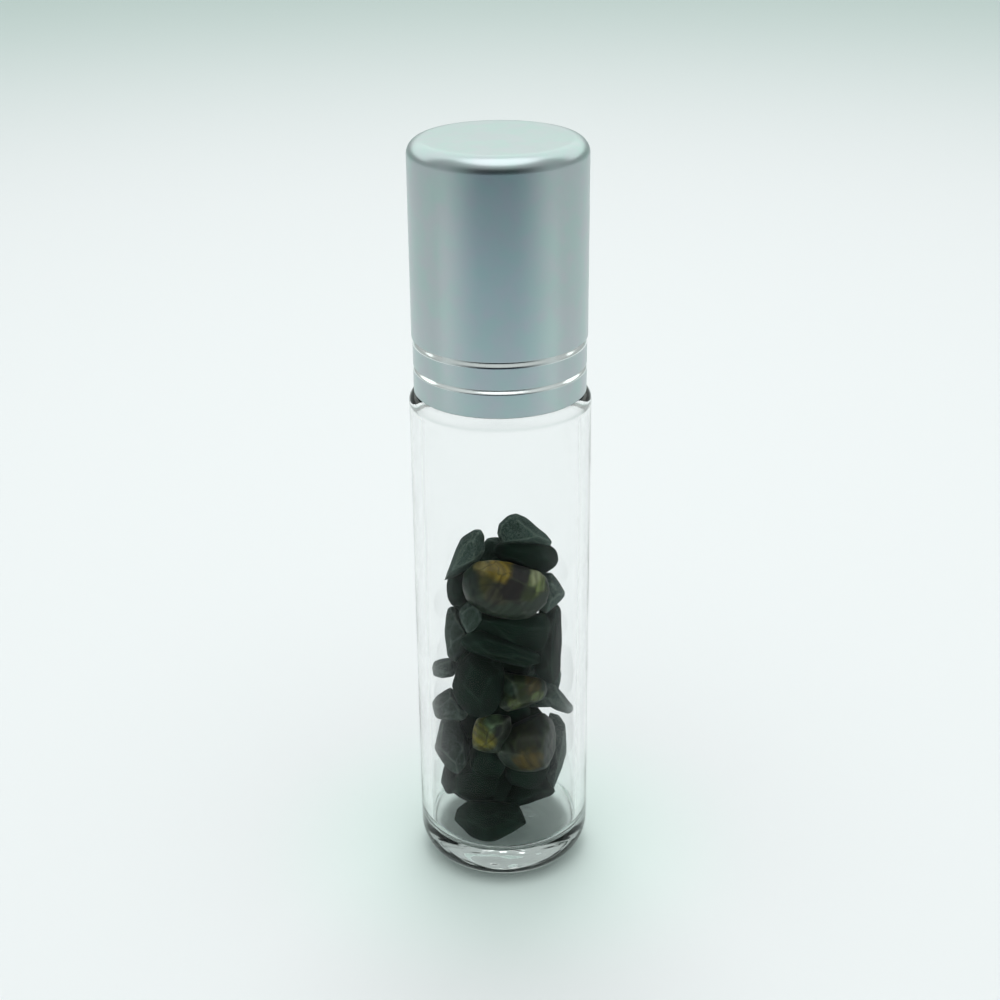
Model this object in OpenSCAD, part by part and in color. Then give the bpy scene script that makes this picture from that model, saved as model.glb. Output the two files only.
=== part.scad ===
/* [Glass bottle] */
// Outer diameter of the glass body
glass_d = 20; // [18:0.1:24]
// Height of the glass body from its foot to the top of the shoulder
body_h = 59.1; // [54:0.1:80]
// Thickness of the side wall
wall = 1.3; // [1:0.05:1.6]
// Thickness of the glass under the stones
floor_h = 4; // [2.6:0.1:5]
// Radius of the rounded heel at the foot
heel_r = 3.9; // [2:0.1:4.4]
// Height of the hollow under the foot
punt_h = 0.2; // [0.1:0.05:0.6]
// Outside corner radius of the shoulder
shoulder_r = 1; // [0.6:0.1:1.8]

/* [Neck and thread] */
// Outer diameter of the neck between the threads
neck_d = 14; // [13.6:0.1:14.4]
// Height of the neck above the shoulder
neck_h = 11.4; // [10.6:0.1:13]
// Diameter of the hole in the neck
neck_bore_d = 11.2; // [10.8:0.05:11.6]
// Rise of the thread in one turn
pitch = 3; // [2.6:0.1:3.4]
// Height of the glass thread above the neck
thread_depth = 0.9; // [0.6:0.05:1]
// Turns of thread on the neck
neck_turns = 1.5; // [1:0.25:2]
// Turns of thread inside the cap
cap_turns = 1.25; // [1:0.25:1.5]

/* [Roller] */
// Diameter of the steel ball
ball_d = 9.5; // [9:0.05:9.8]
// Height of the ball's centre above the top of the neck
ball_rise = 5.15; // [4.9:0.05:5.6]
// Thickness of the flange on top of the neck
flange_h = 1.2; // [0.8:0.1:1.5]
// Wall of the cup round the ball
cup_wall = 1.4; // [1.1:0.05:1.6]
// Length of the plug in the neck
plug_h = 8; // [6:0.5:9]

/* [Cap] */
// Outer diameter of the metal shell
cap_d = 19.1; // [18.8:0.1:23]
// Height of the metal shell
cap_h = 27.5; // [27:0.1:34]
// Thickness of the metal shell
shell_wall = 0.5; // [0.35:0.05:0.6]
// Corner radius round the top of the shell
rim_r = 1.6; // [1:0.1:2.2]
// Height of the plain band at the lower edge
low_band_h = 2.6; // [1.6:0.05:3]
// Height of the bright groove above the lower band
low_groove_h = 0.55; // [0.3:0.05:0.9]
// Height of the second plain band
high_band_h = 2.35; // [1.6:0.05:3]
// Height of the bright groove above the second band
high_groove_h = 0.75; // [0.3:0.05:0.9]
// Depth of the bright grooves
groove_depth = 0.28; // [0.1:0.02:0.3]

/* [Stones] */
// Length of the longest stone chips
stone_len = 9; // [7.5:0.1:10]

/* [Hidden] */
// Glass
glass_r = glass_d / 2;
bore_r = glass_r - wall;
neck_r = neck_d / 2;
neck_bore_r = neck_bore_d / 2;
lip_z = body_h + neck_h;
ring_inset = 1.1;
floor_corner_r = 1.8;
shoulder_wall = 1;
inner_neck_r = 1;
inner_shoulder_r = 1;
neck_fillet_r = 0.6;
lip_r = 0.5;
lip_bore_r = 0.3;

// Screw thread: a ridge on the neck, and one inside the cap that runs just under it
thread_lift = 2.4;
thread_root_w = 1.5;
thread_crest_w = 0.7;
thread_root_sink = 0.15;
ridge_root_w = 1.2;
ridge_crest_w = 0.5;
thread_gap = 0.25;
run_out_angle = 45;
run_out_end_share = 0.1;
thread_step_angle = 15;
thread_z = body_h + thread_lift;
ridge_drop = (thread_root_w + thread_crest_w + ridge_root_w + ridge_crest_w) / 4 + thread_gap;
ridge_start_angle = 180;

// Ball and its housing
ball_r = ball_d / 2;
ball_z = lip_z + ball_rise;
ball_gap = 0.05;
socket_r = ball_r + ball_gap;
mouth_rise = 1.6;
orifice_r = 3;
cup_r = socket_r + cup_wall;
flange_inset = 0.2;
flange_r = neck_r - flange_inset;
flange_edge_r = 0.2;
plug_wall = 0.95;
plug_gap = 0.25;
plug_lead = 0.3;
seat_gap = 0.02;
bead_h = 0.8;
bead_sink = 0.2;
bead_step = 1.8;
bead_count = 3;
shelf_h = 0.9;
mouth_lip = 0.3;

// Cap shell
cap_r = cap_d / 2;
cap_clear = 0.2;
cap_z = body_h + cap_clear;
cap_top_z = cap_z + cap_h;
shell_bore_r = cap_r - shell_wall;
band_inset = 0.1;
hem_r = 0.1;
inner_rim_r = max(hem_r, rim_r - shell_wall);

// Cap liner, clear of the shell, the neck, the housing and the ball
liner_gap = 0.1;
liner_r = shell_bore_r - liner_gap;
liner_lift = 0.3;
liner_z = cap_z + liner_lift;
liner_top_z = cap_top_z - shell_wall - liner_gap;
liner_roof = 1.2;
liner_bore_r = neck_r + thread_depth + thread_gap;
liner_step_gap = 0.5;
upper_bore_r = cup_r + liner_step_gap;
seal_r = 3.4;
seal_wall = 0.8;
seal_gap = 0.12;

arc_steps = 8;

// Each row of the table: the kind of chip; its place as shares of the bore radius across and in depth, and
// of the stone length above the floor; its half sizes as shares of the stone length; its turns; and the
// corners broken off it, each a direction and a share of the stone length. The front of the bottle is -Y.
stone_shares = [
    ["black", [-0.16, -0.50, 0.24], [0.48, 0.32, 0.27], [0, 8, 12],
        [[[-0.7, -0.2, -0.7], 0.36], [[0.4, -0.1, -0.9], 0.26], [[0.9, 0, 0.5], 0.4]]],
    ["black", [-0.32, 0.06, 0.40], [0.34, 0.30, 0.38], [10, -15, 20], []],
    ["black", [0.34, 0.24, 0.29], [0.32, 0.28, 0.28], [0, 10, -10], []],
    ["black", [-0.72, 0.34, 0.38], [0.23, 0.28, 0.30], [0, 10, 15], []],
    ["grey", [0.73, 0.26, 0.72], [0.18, 0.28, 0.80], [0, 8, 10], []],
    ["grey", [-0.68, -0.21, 1.20], [0.29, 0.27, 0.44], [0, -12, -20], []],
    ["tiger_eye", [0.36, -0.42, 1.36], [0.42, 0.30, 0.43], [-10, 12, 5], [[[-0.7, 0, -0.7], 0.38]]],
    ["tiger_eye", [-0.20, -0.54, 1.58], [0.24, 0.24, 0.30], [0, 5, -10], []],
    ["grey", [-0.68, -0.30, 1.80], [0.31, 0.27, 0.24], [0, 15, -10], []],
    ["grey", [0.72, -0.18, 1.88], [0.36, 0.17, 0.16], [0, 44, 0], []],
    ["tiger_eye", [0.26, -0.50, 2.14], [0.34, 0.26, 0.24], [10, -18, 0], [[[0.3, 0, -0.9], 0.2]]],
    ["black", [-0.33, -0.49, 2.34], [0.35, 0.30, 0.50], [0, -8, 0], []],
    ["grey", [-0.80, 0.00, 2.28], [0.23, 0.18, 0.15], [0, 10, 0], []],
    ["black", [-0.10, -0.52, 2.80], [0.52, 0.20, 0.22], [0, 26, 0], []],
    ["grey", [-0.50, -0.20, 2.70], [0.23, 0.30, 0.56], [0, 0, 10], []],
    ["black", [0.55, -0.17, 2.64], [0.25, 0.30, 0.64], [0, -3, 0], []],
    ["black", [0.15, -0.30, 3.03], [0.50, 0.30, 0.33], [0, -8, 0], []],
    ["grey", [-0.42, -0.55, 3.26], [0.16, 0.16, 0.23], [0, 15, 0], []],
    ["black", [-0.57, -0.07, 3.30], [0.19, 0.27, 0.32], [0, 10, 0], []],
    ["tiger_eye", [0.02, -0.40, 3.60], [0.60, 0.29, 0.33], [-20, 6, 0], []],
    ["grey", [0.60, 0.06, 3.37], [0.21, 0.27, 0.26], [0, 15, 0], []],
    ["black", [0.31, 0.12, 3.82], [0.44, 0.31, 0.20], [-5, 3, 0], []],
    ["grey", [0.26, 0.20, 4.11], [0.40, 0.30, 0.28], [0, 5, 0],
        [[[0.6, 0.2, 0.8], 0.2], [[-0.7, 0, 0.7], 0.27]]],
    ["black", [-0.14, 0.37, 3.73], [0.24, 0.28, 0.25], [0, 0, 0], []],
    ["grey", [-0.46, -0.07, 3.88], [0.47, 0.28, 0.17], [0, -57, 0], []],
    ["black", [0.06, 0.58, 0.34], [0.44, 0.32, 0.34], [0, 10, 0], []],
    ["black", [-0.48, 0.58, 0.64], [0.35, 0.30, 0.36], [0, -20, 30], []],
    ["black", [0.30, -0.06, 0.80], [0.37, 0.30, 0.29], [0, 10, 0], []],
    ["black", [-0.23, -0.17, 1.02], [0.34, 0.30, 0.32], [0, 20, 0], []],
    ["black", [0.20, 0.53, 1.06], [0.47, 0.34, 0.38], [0, -10, 10], []],
    ["black", [-0.37, 0.44, 1.28], [0.37, 0.34, 0.40], [0, 15, 0], []],
    ["black", [0.07, 0.02, 1.64], [0.38, 0.31, 0.34], [0, -20, 0], []],
    ["grey", [0.50, 0.42, 1.78], [0.35, 0.34, 0.38], [0, 20, 0], []],
    ["black", [-0.30, 0.42, 2.02], [0.39, 0.34, 0.37], [0, -15, 0], []],
    ["black", [0.06, -0.02, 2.27], [0.34, 0.27, 0.34], [0, 10, 0], []],
    ["black", [0.30, 0.42, 2.48], [0.38, 0.34, 0.38], [0, 25, 0], []],
    ["black", [-0.33, 0.38, 2.72], [0.37, 0.34, 0.39], [0, -10, 0], []],
    ["black", [0.16, 0.40, 3.17], [0.45, 0.35, 0.37], [0, 12, 0], []],
    ["black", [-0.38, 0.34, 3.34], [0.34, 0.32, 0.33], [0, -15, 0], []]
];

// Stone chips: the gap round each, and how uneven and how sharp-edged they are
stone_gap = 0.1;
stone_points = 72;
stone_sharpness = 9;
side_tilt_share = 0.22;
side_in_share = 0.86;
corner_low_share = 0.68;
corner_high_share = 0.9;
golden_angle = 137.508;
stone_count = len(stone_shares);

$fn = 96;

function arc(centre, r, from, to) =
    [for (k = [0:arc_steps]) let (a = from + (to - from) * k / arc_steps) centre + r * [cos(a), sin(a)]];

// A shallow dome from the axis out to an edge.
function dome(edge_r, base_z, rise) =
    let (r = (edge_r * edge_r + rise * rise) / (2 * rise), half = asin(edge_r / r))
    arc([0, base_z + rise - r], r, 90, 90 - half);

function backwards(list) = [for (k = [len(list) - 1:-1:0]) list[k]];

// A ridge wound round the axis, which passes start_z at angle zero. It runs out to nothing at both ends,
// and its foot is sunk into the wall.
module thread(foot_r, crest_r, foot_w, crest_w, start_z, start_angle, turns) {
    sweep = turns * 360;
    rings = ceil(sweep / thread_step_angle);
    points = [
        for (k = [0:rings])
            let (a = sweep * k / rings,
                 full = max(run_out_end_share, min(1, a / run_out_angle, (sweep - a) / run_out_angle)),
                 top_r = foot_r + (crest_r - foot_r) * full,
                 turn = start_angle + a,
                 z = start_z + pitch * turn / 360)
            for (corner = [[foot_r, -foot_w], [top_r, -crest_w], [top_r, crest_w], [foot_r, foot_w]])
                [cos(turn) * corner.x, sin(turn) * corner.x, z + corner.y / 2]
    ];
    first = [3, 2, 1, 0];
    last = [for (c = [0:3]) rings * 4 + c];
    inward = crest_r < foot_r;
    sides = [
        for (k = [0:rings - 1], c = [0:3])
            let (a = k * 4 + c, b = k * 4 + (c + 1) % 4)
            for (face = [[a, b + 4, a + 4], [a, b, b + 4]]) face
    ];
    outward_faces = concat([first], sides, [last]);
    faces = inward ? [for (face = outward_faces) backwards(face)] : outward_faces;
    polyhedron(points = points, faces = faces);
}

module glass_bottle() {
    ring_out_r = glass_r - heel_r;
    inside_top = body_h - shoulder_wall;
    profile = concat(
        dome(ring_out_r - ring_inset, 0, punt_h),
        arc([ring_out_r, heel_r], heel_r, -90, 0),
        arc([glass_r - shoulder_r, body_h - shoulder_r], shoulder_r, 0, 90),
        arc([neck_r + neck_fillet_r, body_h + neck_fillet_r], neck_fillet_r, 270, 180),
        arc([neck_r - lip_r, lip_z - lip_r], lip_r, 0, 90),
        arc([neck_bore_r + lip_bore_r, lip_z - lip_bore_r], lip_bore_r, 90, 180),
        arc([neck_bore_r + inner_neck_r, inside_top + inner_neck_r], inner_neck_r, 180, 270),
        arc([bore_r - inner_shoulder_r, inside_top - inner_shoulder_r], inner_shoulder_r, 90, 0),
        arc([bore_r - floor_corner_r, floor_h + floor_corner_r], floor_corner_r, 0, -90),
        [[0, floor_h]]
    );
    color("honeydew", 0.35) {
        rotate_extrude() polygon(profile);
        thread(neck_r - thread_root_sink, neck_r + thread_depth, thread_root_w, thread_crest_w,
               thread_z, 0, neck_turns);
    }
}

module ball_housing() {
    plug_r = neck_bore_r - plug_gap;
    plug_bore_r = plug_r - plug_wall;
    seat_z = lip_z + seat_gap;
    plug_z = lip_z - plug_h;
    mouth_z = ball_z + mouth_rise;
    mouth_angle = asin(mouth_rise / socket_r);
    orifice_angle = -acos(orifice_r / socket_r);
    socket_foot_z = ball_z - socket_r;
    cup_top_r = cup_r - mouth_lip;
    profile = concat(
        [[plug_bore_r, plug_z], [plug_r - plug_lead, plug_z], [plug_r, plug_z + plug_lead], [plug_r, seat_z]],
        arc([flange_r - flange_edge_r, seat_z + flange_edge_r], flange_edge_r, -90, 0),
        arc([flange_r - flange_edge_r, seat_z + flange_h - flange_edge_r], flange_edge_r, 0, 90),
        [[cup_r, seat_z + flange_h]],
        arc([cup_top_r - mouth_lip, mouth_z - mouth_lip], mouth_lip, 0, 90),
        arc([0, ball_z], socket_r, mouth_angle, orifice_angle),
        [[orifice_r, socket_foot_z - shelf_h], [plug_bore_r, socket_foot_z - shelf_h]]
    );
    color("ivory") {
        rotate_extrude() polygon(profile);
        for (k = [1:bead_count])
            translate([0, 0, plug_z + k * bead_step]) sealing_bead(plug_r);
    }
}

// A bead round the plug that presses against the hole in the neck.
module sealing_bead(foot_r) {
    crest_r = neck_bore_r - seat_gap;
    rotate_extrude()
        polygon([[foot_r - bead_sink, 0], [foot_r, 0], [crest_r, bead_h / 2], [foot_r, bead_h],
                 [foot_r - bead_sink, bead_h]]);
}

module roller_ball() {
    color("silver") translate([0, 0, ball_z]) sphere(r = ball_r);
}

// The outline of a groove cut with a long slope, which catches the light, under a short one.
function groove(foot_z, top_z, face_r) =
    [[face_r, foot_z], [face_r - groove_depth, top_z - groove_depth],
     [face_r - groove_depth, top_z - groove_depth / 2]];

// A thin cup over the liner. Two grooves part the plain bands at its lower edge.
module cap_shell() {
    band_r = cap_r - band_inset;
    low_groove_z = cap_z + low_band_h;
    high_band_z = low_groove_z + low_groove_h;
    high_groove_z = high_band_z + high_band_h;
    wall_z = high_groove_z + high_groove_h;
    profile = concat(
        [[shell_bore_r, cap_z]],
        arc([band_r - hem_r, cap_z + hem_r], hem_r, -90, 0),
        groove(low_groove_z, high_band_z, band_r),
        [[band_r, high_band_z]],
        groove(high_groove_z, wall_z, band_r),
        [[cap_r, wall_z]],
        arc([cap_r - rim_r, cap_top_z - rim_r], rim_r, 0, 90),
        [[0, cap_top_z], [0, cap_top_z - shell_wall]],
        arc([shell_bore_r - inner_rim_r, cap_top_z - shell_wall - inner_rim_r], inner_rim_r, 90, 0)
    );
    color("lightsteelblue") rotate_extrude() polygon(profile);
}

module cap_liner() {
    step_z = lip_z + seat_gap + flange_h + liner_step_gap;
    roof_z = liner_top_z - liner_roof;
    seal_bore_r = seal_r - seal_wall;
    seal_foot_z = ball_z + sqrt(pow(ball_r + seal_gap, 2) - pow(seal_bore_r, 2));
    outside = concat(
        [[liner_bore_r, liner_z], [liner_r, liner_z]],
        arc([liner_r - inner_rim_r, liner_top_z - inner_rim_r], inner_rim_r, 0, 90),
        [[0, liner_top_z], [0, roof_z]]
    );
    inside = [[seal_bore_r, roof_z], [seal_bore_r, seal_foot_z], [seal_r, seal_foot_z], [seal_r, roof_z],
              [upper_bore_r, roof_z], [upper_bore_r, step_z], [liner_bore_r, step_z + liner_step_gap]];
    color("whitesmoke") {
        rotate_extrude() polygon(concat(outside, inside));
        thread(liner_bore_r + thread_root_sink, neck_r + thread_gap, ridge_root_w, ridge_crest_w,
               thread_z - ridge_drop, ridge_start_angle, cap_turns);
    }
}

function unit(v) = v / norm(v);
function total(v) = len(v) == 0 ? 0 : v * [for (x = v) 1];
function stone_name(i) = str(stone_shares[i][0], "_stone_", i + 1);

function stone_place(i) =
    let (share = stone_shares[i][1])
    [share.x * bore_r, share.y * bore_r, floor_h + share.z * stone_len];

function turned(v, turn) =
    let (x = turn.x, y = turn.y, z = turn.z,
         a = [v.x, v.y * cos(x) - v.z * sin(x), v.y * sin(x) + v.z * cos(x)],
         b = [a.x * cos(y) + a.z * sin(y), a.y, a.z * cos(y) - a.x * sin(y)])
    [b.x * cos(z) - b.y * sin(z), b.x * sin(z) + b.y * cos(z), b.z];

// Small random leans that make the faces of a chip uneven.
function leans(count, seed) =
    let (v = rands(-side_tilt_share, side_tilt_share, 3 * count, seed))
    [for (k = [0:count - 1]) [v[3 * k], v[3 * k + 1], v[3 * k + 2]]];

// The broken faces of a chip, each as its outward direction and its distance from the chip's middle: six
// sides, eight corners cut across, and the corners that its row in the table breaks off.
function own_faces(i) =
    let (half = stone_shares[i][2] * stone_len,
         turn = stone_shares[i][3],
         seed = i + 1,
         sides = [[1, 0, 0], [-1, 0, 0], [0, 1, 0], [0, -1, 0], [0, 0, 1], [0, 0, -1]],
         corners = [for (x = [-1, 1], y = [-1, 1], z = [-1, 1]) [x, y, z]],
         lean = leans(len(sides) + len(corners), seed),
         depth = rands(side_in_share, 1, len(sides), seed),
         cut = rands(corner_low_share, corner_high_share, len(corners), seed))
    concat(
        [for (k = [0:len(sides) - 1])
            [turned(unit(sides[k] + lean[k]), turn), abs(sides[k] * half) * depth[k]]],
        [for (k = [0:len(corners) - 1])
            let (across = [for (c = [0:2]) corners[k][c] / half[c]] * norm(half),
                 d = unit(across + lean[len(sides) + k]))
            [turned(d, turn), total([for (c = [0:2]) abs(d[c]) * half[c]]) * cut[k]]],
        [for (corner = stone_shares[i][4]) [unit(corner[0]), corner[1] * stone_len]]
    );

// How far a rounded body with these faces reaches from its middle in a direction.
function reach(faces, d) =
    pow(total([for (f = faces) pow(max(0, f[0] * d) / f[1], stone_sharpness)]), -1 / stone_sharpness);

// The halfway faces that part a chip from its neighbours, so that no two ever overlap.
function parting_faces(i, faces) =
    [for (j = [0:stone_count - 1])
        let (away = stone_place(j) - stone_place(i), far = norm(away))
        if (j != i && far < 2 * stone_len)
            let (d = away / far, mine = reach(faces[i], d), theirs = reach(faces[j], -d))
            [d, far * mine / (mine + theirs) - stone_gap / 2]];

// How far a ray from a point runs before it meets the glass.
function room(from, d) =
    let (limit_r = bore_r - stone_gap,
         a = d.x * d.x + d.y * d.y,
         b = from.x * d.x + from.y * d.y,
         c = from.x * from.x + from.y * from.y - limit_r * limit_r,
         to_wall = (sqrt(b * b - a * c) - b) / a,
         to_floor = d.z < 0 ? (floor_h + stone_gap - from.z) / d.z : to_wall)
    min(to_wall, to_floor);

module stone(i) {
    place = stone_place(i);
    faces = [for (k = [0:stone_count - 1]) own_faces(k)];
    all_faces = concat(faces[i], parting_faces(i, faces));
    points = [
        for (k = [0:stone_points - 1])
            let (z = 1 - (2 * k + 1) / stone_points,
                 r = sqrt(1 - z * z),
                 d = [r * cos(k * golden_angle), r * sin(k * golden_angle), z])
            place + d * min(reach(all_faces, d), room(place, d))
    ];
    kind = stone_shares[i][0];
    color(kind == "black" ? "darkslategray" : kind == "grey" ? "dimgray" : "peru")
        hull() polyhedron(points = points, faces = [[for (k = [0:stone_points - 1]) k]]);
}

glass_bottle();
ball_housing();
roller_ball();
cap_shell();
cap_liner();
for (i = [0:stone_count - 1])
    stone(i);
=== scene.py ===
# %% [markdown]
# # A roll-on bottle with stone chips
#
# The object is a small glass bottle with a steel roller ball, a satin metal cap and a pile of stone
# chips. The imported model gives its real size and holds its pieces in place. This lesson keeps that frame
# and gives each piece its finished surface and material, one piece at a time.

# %% Load the frame
import math
import random

import bmesh
import bpy
from mathutils import Matrix, Vector, noise


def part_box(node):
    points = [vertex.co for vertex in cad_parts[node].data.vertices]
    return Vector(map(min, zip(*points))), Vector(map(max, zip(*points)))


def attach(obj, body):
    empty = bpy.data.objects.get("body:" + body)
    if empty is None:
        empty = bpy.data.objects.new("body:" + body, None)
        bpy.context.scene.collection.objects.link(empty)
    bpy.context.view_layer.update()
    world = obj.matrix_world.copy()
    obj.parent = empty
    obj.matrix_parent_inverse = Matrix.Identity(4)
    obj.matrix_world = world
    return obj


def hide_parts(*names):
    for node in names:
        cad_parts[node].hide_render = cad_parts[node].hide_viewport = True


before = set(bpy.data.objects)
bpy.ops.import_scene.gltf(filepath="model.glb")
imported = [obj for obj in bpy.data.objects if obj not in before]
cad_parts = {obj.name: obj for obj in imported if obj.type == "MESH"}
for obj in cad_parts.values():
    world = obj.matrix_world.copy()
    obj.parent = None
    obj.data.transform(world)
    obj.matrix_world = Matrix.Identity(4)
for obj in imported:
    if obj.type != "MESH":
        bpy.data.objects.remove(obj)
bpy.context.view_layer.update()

MM = 0.001


# %% [markdown]
# ## Small helpers
#
# Colours are written as the eye sees them, in sRGB hex, and Blender works in linear light, so one function
# turns the first into the second. A small class adds a node to a tree, sets it, links it and hands back
# its outputs, for materials and for Geometry Nodes alike. It has short forms for the nodes that come most
# often, which keeps each tree short enough to read.

# %% Colour, node and object helpers
def colour(hex_code):
    """A linear RGBA colour from an sRGB hex code."""
    parts = [int(hex_code[i:i + 2], 16) / 255 for i in (1, 3, 5)]
    return [c / 12.92 if c <= 0.04045 else ((c + 0.055) / 1.055) ** 2.4 for c in parts] + [1.0]


class Nodes:
    """Adds nodes to a tree. Each input takes a value, or an output to link."""

    def __init__(self, tree):
        self.tree = tree

    def __call__(self, kind, inputs=None, **settings):
        node = self.tree.nodes.new(kind)
        for name, value in settings.items():
            setattr(node, name, value)
        for key, value in (inputs or {}).items():
            if isinstance(value, bpy.types.NodeSocket):
                self.tree.links.new(value, node.inputs[key])
            else:
                node.inputs[key].default_value = value
        return node.outputs

    def math(self, operation, *values):
        """Works out a number from numbers."""
        return self("ShaderNodeMath", dict(enumerate(values)), operation=operation)[0]

    def vector(self, operation, *values):
        """Works out a vector, or a number where the operation measures something."""
        out = self("ShaderNodeVectorMath", dict(enumerate(values)), operation=operation)
        return out["Value"] if operation in ("LENGTH", "DOT_PRODUCT", "DISTANCE") else out[0]

    def noise(self, place, scale, detail):
        """Cloudy values from 0 to 1."""
        return self("ShaderNodeTexNoise", {"Vector": place, "Scale": scale, "Detail": detail})[0]

    def mapped(self, value, given=(0, 1), to=(0, 1), smooth=False):
        """Maps a given range of a value to another range."""
        return self("ShaderNodeMapRange", {
            "Value": value, "From Min": given[0], "From Max": given[1], "To Min": to[0], "To Max": to[1]},
            interpolation_type="SMOOTHSTEP" if smooth else "LINEAR")[0]

    def blend(self, share, first, second):
        """Goes from the first colour to the second."""
        return self("ShaderNodeMix", {"Factor": share, 6: first, 7: second}, data_type="RGBA")[2]


def new_material(name):
    """An empty node material, and what adds its nodes."""
    material = bpy.data.materials.new(name)
    material.use_nodes = True
    material.node_tree.nodes.clear()
    return material, Nodes(material.node_tree)


def new_object(name, data):
    """Links a mesh, a lamp or a camera into the scene as an object at the origin."""
    piece = bpy.data.objects.new(name, data)
    bpy.context.scene.collection.objects.link(piece)
    return piece


print("pale mint in linear light:", [round(c, 3) for c in colour("#E8F4F0")])


# %% [markdown]
# ## Camera
#
# The photograph was taken from above the bottle's cap, with the lens turned down. A pinhole camera was
# fitted to the bottle's outline, which gave the distance, the height and the tilt. The lens follows from
# the focal length in pixels, for a picture 1000 pixels wide.

# %% Camera
PICTURE_PX = 1000
FOCAL_PX = 1754.77
CENTRE_PX = 501.23
CAMERA_BACK = 180.06
CAMERA_UP = 127.54
CAMERA_TILT = 0.4265
CAMERA_ROLL = -0.0091

camera_data = bpy.data.cameras.new("camera")
camera_data.sensor_width = 36
camera_data.lens = camera_data.sensor_width * FOCAL_PX / PICTURE_PX
camera_data.shift_x = (PICTURE_PX / 2 - CENTRE_PX) / PICTURE_PX
camera_data.clip_start = 10 * MM
camera_data.clip_end = 20
camera = new_object("camera", camera_data)
turn = Matrix.Rotation(math.pi / 2 - CAMERA_TILT, 4, "X") @ Matrix.Rotation(CAMERA_ROLL, 4, "Z")
camera.matrix_world = Matrix.Translation((0, -CAMERA_BACK * MM, CAMERA_UP * MM)) @ turn
bpy.context.scene.camera = camera
print("lens in mm:", round(camera_data.lens, 2))


# %% [markdown]
# ## Floor and light
#
# The bottle stands on a pale sheet in soft daylight. A large plane is the sheet, a hair under the foot, so
# that glass and paper don't share a surface. Its colour changes slowly outwards from the bottle: next to the
# glass it carries a painted green light, and far off a painted shade. The world gives light from all round,
# most of it from above. One broad lamp overhead makes the bright line along the cap's rim. A smaller one
# behind lights the foot and the sheet in front of it, and is kept out of reflections. Glass and metal show
# only what surrounds them, so glowing cards stand round the bottle as painted reflections, each with set
# colours. A dark one where the photographer stood makes the dark stripe down the cap, a pale one lies on the
# sheet below it and glows darker further out, and a white one behind lights the cap's top. The cards are seen
# only in reflections.

# %% Floor
FLOOR_SIZE = 6000
AIR_GAP = 0.02
# Painted light on the sheet: a green light next to the glass, and painted shade far off.
PAINTED_GREEN_LIGHT, PAPER, PAINTED_FAR_SHADE = "#E4F1ED", "#E9EBEC", "#D6E4E0"
GREEN_LIGHT_REACH = (10, 34)
FAR_SHADE_REACH = (300, 750)

half, floor_z = FLOOR_SIZE / 2 * MM, -AIR_GAP * MM
floor_mesh = bpy.data.meshes.new("floor")
floor_mesh.from_pydata([(-half, -half, floor_z), (half, -half, floor_z), (half, half, floor_z),
                        (-half, half, floor_z)], [], [(0, 1, 2, 3)])
floor = new_object("floor", floor_mesh)

sheet, add = new_material("matt paper sheet")
place = add("ShaderNodeTexCoord")["Object"]
away = add.vector("LENGTH", place)
# The sheet is painted with a green light next to the glass and with a painted shade far off.
tone = colour(PAINTED_FAR_SHADE)
for shade, (near, far) in ((PAPER, FAR_SHADE_REACH), (PAINTED_GREEN_LIGHT, GREEN_LIGHT_REACH)):
    fade = add.mapped(away, (near * MM, far * MM), smooth=True)
    tone = add.blend(fade, colour(shade), tone)
paper = add("ShaderNodeBsdfDiffuse", {"Color": tone})[0]
add("ShaderNodeOutputMaterial", {"Surface": paper})
floor.data.materials.append(sheet)
print("floor in metres:", FLOOR_SIZE * MM)


# %% World
SKY = "#F7FFFD"
SKY_LOW = 0.46
SKY_HIGH = 0.74
SKY_TURN = 0.2

world = bpy.data.worlds.new("soft daylight")
bpy.context.scene.world = world
bpy.context.scene.view_settings.view_transform = "Standard"
world.use_nodes = True
world.node_tree.nodes.clear()
add = Nodes(world.node_tree)
direction = add("ShaderNodeTexCoord")["Generated"]
height = add("ShaderNodeSeparateXYZ", {0: direction})["Z"]
strength = add.mapped(height, (SKY_TURN, 1), (SKY_LOW, SKY_HIGH), smooth=True)
light = add("ShaderNodeBackground", {"Color": colour(SKY), "Strength": strength})[0]
add("ShaderNodeOutputWorld", {"Surface": light})
print("brightest part of the world:", SKY_HIGH)


# %% Lamps
LAMP_SIZE, LAMP_WATTS, LAMP_PLACE = 0.66, 1.42, Vector((0.01, -0.09, 0.62))
FILL_SIZE, FILL_WATTS, FILL_PLACE = 0.4, 1.3, Vector((0.0, 0.32, 0.65))


def softbox(name, size, watts, place):
    """A round lamp, sized and placed in metres, that faces the bottle's foot."""
    data = bpy.data.lights.new(name, "AREA")
    data.shape, data.size, data.energy = "DISK", size, watts
    lamp = new_object(name, data)
    lamp.location = place
    lamp.rotation_euler = place.to_track_quat("Z", "Y").to_euler()
    return lamp


softbox("overhead softbox", LAMP_SIZE, LAMP_WATTS, LAMP_PLACE)
fill = softbox("softbox behind", FILL_SIZE, FILL_WATTS, FILL_PLACE)
fill.visible_glossy = False
print("overhead lamp's radiance:", round(LAMP_WATTS / (math.pi * math.pi * LAMP_SIZE ** 2 / 4), 2))


# %% Cards
CARD_STEPS = 24
CARD_REACH = 80
CARD_R = 330
CARD_HIGH = 240
CARD_FADE = (0.3, 1.35)
LYING_FADE = (135, 215)


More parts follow.
